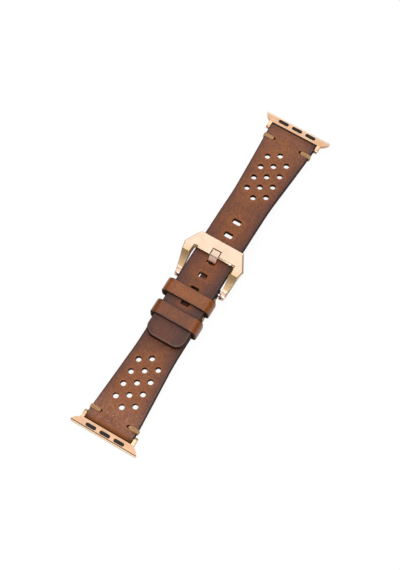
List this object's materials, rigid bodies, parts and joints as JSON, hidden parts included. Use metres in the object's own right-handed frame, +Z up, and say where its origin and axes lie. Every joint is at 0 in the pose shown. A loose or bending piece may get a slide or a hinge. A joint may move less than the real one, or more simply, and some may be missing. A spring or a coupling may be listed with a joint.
{
  "type": "leather watch strap",
  "caption": "Leather watch strap in two buckled halves, lying flat, with two keepers and a slide-in metal lug adapter with a sprung latch at each end.",
  "frame": {"origin": "centre of the strap's footprint, on the surface that it lies on", "axes": "+X along the strap, from the short half's adapter to the long half's; +Y across it; +Z up, out of the outer face"},
  "size_m": [0.1768, 0.034, 0.011],
  "materials": {
    "strap_leather": "oiled and burnished",
    "lining_leather": "natural, smooth",
    "keeper_leather": "oiled, glossy at the bends",
    "thread": "waxed thread",
    "satin_gold": "steel coated in pale rose gold, satin",
    "rose_gold": "steel coated in rose gold, satin",
    "bar_steel": "turned",
    "black_insert": "matt"
  },
  "bodies": {
    "strap": {"short_strap_outer": "strap_leather", "short_strap_lining": "lining_leather", "long_strap_outer": "strap_leather", "long_strap_lining": "lining_leather", "fixed_keeper": "keeper_leather", "short_lug_stitches": "thread", "long_lug_stitches": "thread", "buckle_stitches": "thread"},
    "loose_keeper": {"floating_keeper": "keeper_leather"},
    "buckle": {"buckle_frame": "satin_gold", "buckle_bar": "bar_steel", "buckle_screws": "satin_gold"},
    "tongue": {"buckle_tongue": "satin_gold"},
    "short_adapter": {"short_adapter_frame": "rose_gold", "short_adapter_pads": "black_insert", "short_lug_bar": "bar_steel", "short_lug_screws": "rose_gold", "short_latch_cover": "rose_gold", "short_latch_spring": "bar_steel"},
    "short_latch": {"short_latch_button": "black_insert"},
    "long_adapter": {"long_adapter_frame": "rose_gold", "long_adapter_pads": "black_insert", "long_lug_bar": "bar_steel", "long_lug_screws": "rose_gold", "long_latch_cover": "rose_gold", "long_latch_spring": "bar_steel"},
    "long_latch": {"long_latch_button": "black_insert"}
  },
  "joints": [
    {"name": "keeper_slide", "type": "slide", "parent": "strap", "child": "loose_keeper", "axis": [1, 0, 0], "range_m": [-0.016, 0.0012]},
    {"name": "buckle_hinge", "type": "hinge", "parent": "strap", "child": "buckle", "pos_m": [-0.00407, 0, 0.00247], "axis": [0, -1, 0], "range_deg": [0, 5]},
    {"name": "tongue_hinge", "type": "hinge", "parent": "buckle", "child": "tongue", "pos_m": [-0.00407, 0, 0.00247], "axis": [0, -1, 0], "range_deg": [0, 4]},
    {"name": "short_adapter_hinge", "type": "hinge", "parent": "strap", "child": "short_adapter", "pos_m": [-0.08167, 0, 0.00238], "axis": [0, 1, 0], "range_deg": [-75, 75]},
    {"name": "short_latch_press", "type": "slide", "parent": "short_adapter", "child": "short_latch", "axis": [0, 0, -1], "range_m": [0, 0.0005], "stiffness_N_per_m": 2000, "springref_m": -0.0002, "deforming": ["short_latch_spring"]},
    {"name": "long_adapter_hinge", "type": "hinge", "parent": "strap", "child": "long_adapter", "pos_m": [0.08167, 0, 0.00238], "axis": [0, -1, 0], "range_deg": [-75, 75]},
    {"name": "long_latch_press", "type": "slide", "parent": "long_adapter", "child": "long_latch", "axis": [0, 0, -1], "range_m": [0, 0.0005], "stiffness_N_per_m": 2000, "springref_m": -0.0002, "deforming": ["long_latch_spring"]}
  ]
}
